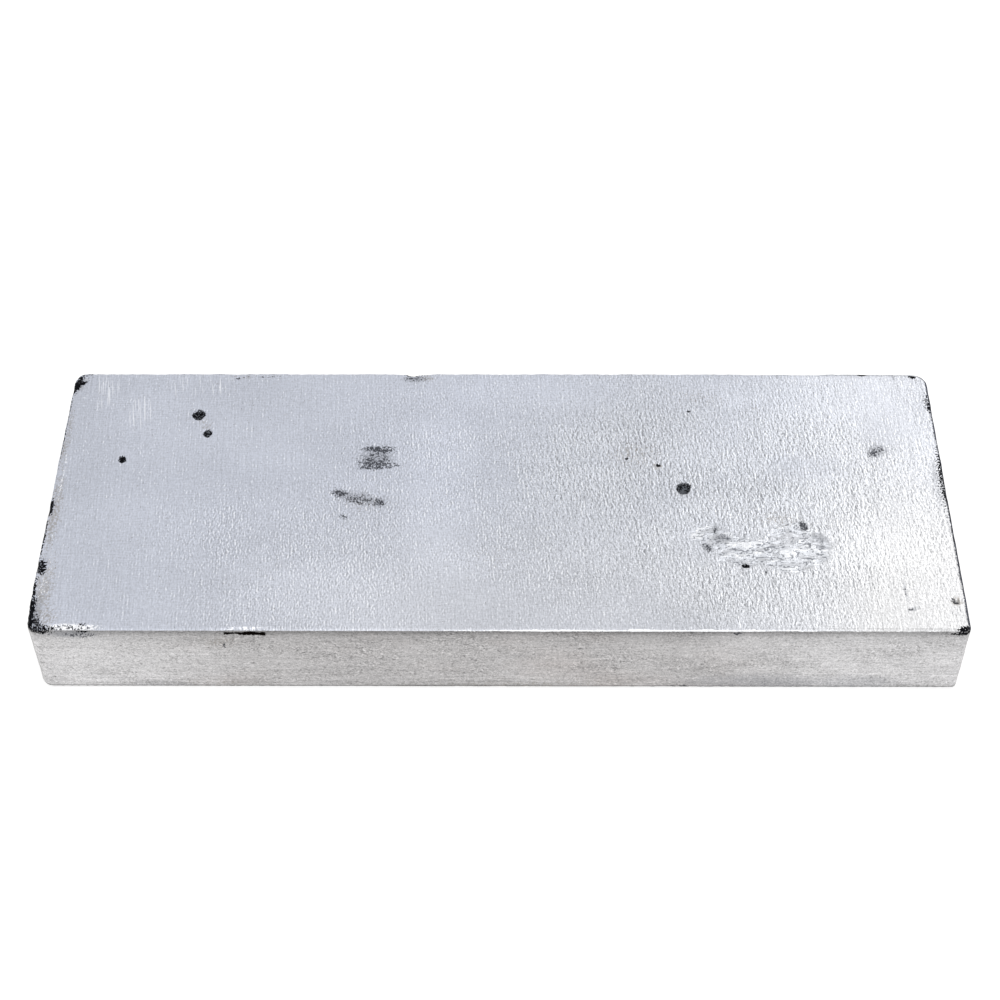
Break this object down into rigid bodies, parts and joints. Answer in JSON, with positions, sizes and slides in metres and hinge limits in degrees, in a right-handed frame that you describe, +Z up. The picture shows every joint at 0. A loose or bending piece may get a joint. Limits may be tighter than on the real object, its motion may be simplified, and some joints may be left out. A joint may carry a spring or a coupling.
{
  "type": "metal ingot",
  "caption": "Flat cast metal ingot: a drafted rectangular slab with rounded corners, gas pores and chipped edges, for stacking, sawing or remelting.",
  "frame": {"origin": "middle of the base, on the surface that the ingot lies on", "axes": "+X along the length, +Y from the front wall to the back wall, +Z up out of the wide upper face"},
  "size_m": [0.3, 0.118, 0.03],
  "materials": {
    "cast_metal": "satin"
  },
  "bodies": {
    "root": {"ingot": "cast_metal"}
  },
  "joints": []
}
